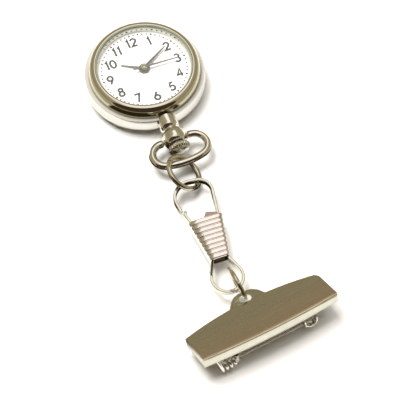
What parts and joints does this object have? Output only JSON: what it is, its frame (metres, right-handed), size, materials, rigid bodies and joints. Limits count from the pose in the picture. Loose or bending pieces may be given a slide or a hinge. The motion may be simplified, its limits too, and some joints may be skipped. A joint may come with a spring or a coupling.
{
  "type": "fob watch",
  "caption": "Round analogue fob watch with a stirrup bow, jump rings and a ribbed snap clip, hanging from a curved brooch bar with a pin and catch on its back.",
  "frame": {"origin": "centre of the case back, on the surface the watch lies on", "axes": "+Z out of the dial, +Y towards 12 o'clock, the chain and the brooch lie along -Y"},
  "size_m": [0.0325, 0.0871, 0.0078],
  "materials": {
    "nickel": "polished nickel plate",
    "bezel_nickel": "polished warm nickel plate",
    "clip_nickel": "bright pressed nickel",
    "dark_nickel": "dull dark strip",
    "brooch_steel": "long-grained brushed top, polished skirt",
    "fitting_nickel": "polished",
    "pin_steel": "drawn wire",
    "back_steel": "satin",
    "rubber_seal": "matt",
    "crystal": "clear flat mineral glass",
    "white_plastic": "satin",
    "dial_white": "satin white lacquer",
    "holder_plastic": "matt ivory",
    "board_green": "lacquered board",
    "coil_copper": "varnished copper wire",
    "brass": "fine turned",
    "movement_steel": "satin",
    "can_steel": "satin",
    "hand_grey": "dark silver"
  },
  "bodies": {
    "watch": {"case_body": "nickel", "case_back": "back_steel", "back_gasket": "rubber_seal", "bezel": "bezel_nickel", "crystal": "crystal", "crystal_gasket": "white_plastic", "dial": "dial_white", "movement_holder": "holder_plastic", "main_plate": "brass", "train_bridge": "brass", "bridge_screws": "movement_steel", "circuit_board": "board_green", "quartz_can": "can_steel", "stator": "movement_steel", "drive_coil": "coil_copper", "battery": "can_steel", "battery_clip": "brass", "pendant": "nickel"},
    "rotor": {"rotor": "movement_steel"},
    "step": {"step_wheel": "brass"},
    "second": {"second_arbor": "brass", "second_hand": "hand_grey"},
    "third": {"third_wheel": "brass"},
    "minute": {"centre_wheel": "brass", "minute_hand": "hand_grey"},
    "intermediate": {"minute_wheel": "brass"},
    "hour": {"hour_wheel": "brass", "hour_hand": "hand_grey"},
    "stem": {"winding_stem": "movement_steel"},
    "crown": {"crown": "nickel"},
    "bow": {"bow": "nickel"},
    "upper_ring": {"upper_jump_ring": "nickel"},
    "clip": {"clip_strip": "clip_nickel", "clip_sleeve": "clip_nickel", "clip_tongue": "dark_nickel", "gate_rivet": "clip_nickel"},
    "gate": {"clip_gate": "clip_nickel"},
    "lower_ring": {"lower_jump_ring": "nickel"},
    "brooch": {"brooch_bar": "brooch_steel", "pin_bracket": "fitting_nickel", "pin_coil": "fitting_nickel", "pin_rivet": "fitting_nickel", "pin_catch": "fitting_nickel"},
    "pin": {"brooch_pin": "pin_steel"}
  },
  "joints": [
    {"name": "second_turn", "type": "hinge", "parent": "watch", "child": "second", "pos_m": [0, 0, 0.0065], "axis": [0, 0, -1], "continuous": true},
    {"name": "minute_turn", "type": "hinge", "parent": "watch", "child": "minute", "pos_m": [0, 0, 0.0062], "axis": [0, 0, -1], "continuous": true},
    {"name": "hour_turn", "type": "hinge", "parent": "watch", "child": "hour", "pos_m": [0, 0, 0.0059], "axis": [0, 0, -1], "continuous": true},
    {"name": "third_turn", "type": "hinge", "parent": "watch", "child": "third", "pos_m": [0.0034, 0, 0.0032], "axis": [0, 0, -1], "continuous": true},
    {"name": "step_turn", "type": "hinge", "parent": "watch", "child": "step", "pos_m": [-0.00066, 0.00374, 0.0025], "axis": [0, 0, -1], "continuous": true},
    {"name": "rotor_turn", "type": "hinge", "parent": "watch", "child": "rotor", "pos_m": [0.00253, 0.0049, 0.0025], "axis": [0, 0, -1], "continuous": true},
    {"name": "minute_wheel_turn", "type": "hinge", "parent": "watch", "child": "intermediate", "pos_m": [-0.00246, -0.00172, 0.0047], "axis": [0, 0, -1], "continuous": true},
    {"name": "stem_pull", "type": "slide", "parent": "watch", "child": "stem", "axis": [0, -1, 0], "range_m": [0, 0.0003]},
    {"name": "crown_turn", "type": "hinge", "parent": "stem", "child": "crown", "pos_m": [0, -0.0215, 0.00315], "axis": [0, -1, 0], "continuous": true},
    {"name": "bow_swing", "type": "hinge", "parent": "watch", "child": "bow", "pos_m": [0, -0.0187, 0.00315], "axis": [1, 0, 0], "range_deg": [-85, 85]},
    {"name": "upper_ring_swing", "type": "hinge", "parent": "bow", "child": "upper_ring", "pos_m": [-0.00097, -0.02495, 0.00315], "axis": [1, 0, 0], "range_deg": [-45, 45]},
    {"name": "clip_swing", "type": "hinge", "parent": "upper_ring", "child": "clip", "pos_m": [-0.0005, -0.02995, 0.0027], "axis": [1, 0, 0], "range_deg": [-45, 45]},
    {"name": "gate_press", "type": "hinge", "parent": "clip", "child": "gate", "pos_m": [-0.00391, -0.0438, 0.0027], "axis": [0, 0, -1], "range_deg": [0, 14], "stiffness_Nm_per_rad": 0.004},
    {"name": "lower_ring_swing", "type": "hinge", "parent": "clip", "child": "lower_ring", "pos_m": [-0.00145, -0.0578, 0.0027], "axis": [0, 0, 1], "range_deg": [-15, 35]},
    {"name": "brooch_swing", "type": "hinge", "parent": "lower_ring", "child": "brooch", "pos_m": [-0.0015, -0.05695, 0.0039], "axis": [0.9815, 0.0807, 0.1736], "range_deg": [-60, 25]},
    {"name": "pin_open", "type": "hinge", "parent": "brooch", "child": "pin", "pos_m": [-0.00777, -0.07124, 0.00182], "axis": [0.0328, -0.3404, -0.9397], "range_deg": [0, 55], "stiffness_Nm_per_rad": 0.002}
  ],
  "couplings": [
    {"joint": "minute_turn", "follows": "second_turn", "ratio": 0.016667},
    {"joint": "hour_turn", "follows": "second_turn", "ratio": 0.0013889},
    {"joint": "third_turn", "follows": "second_turn", "ratio": -0.13333},
    {"joint": "step_turn", "follows": "second_turn", "ratio": -4},
    {"joint": "rotor_turn", "follows": "second_turn", "ratio": 30},
    {"joint": "minute_wheel_turn", "follows": "second_turn", "ratio": -0.0055556}
  ]
}
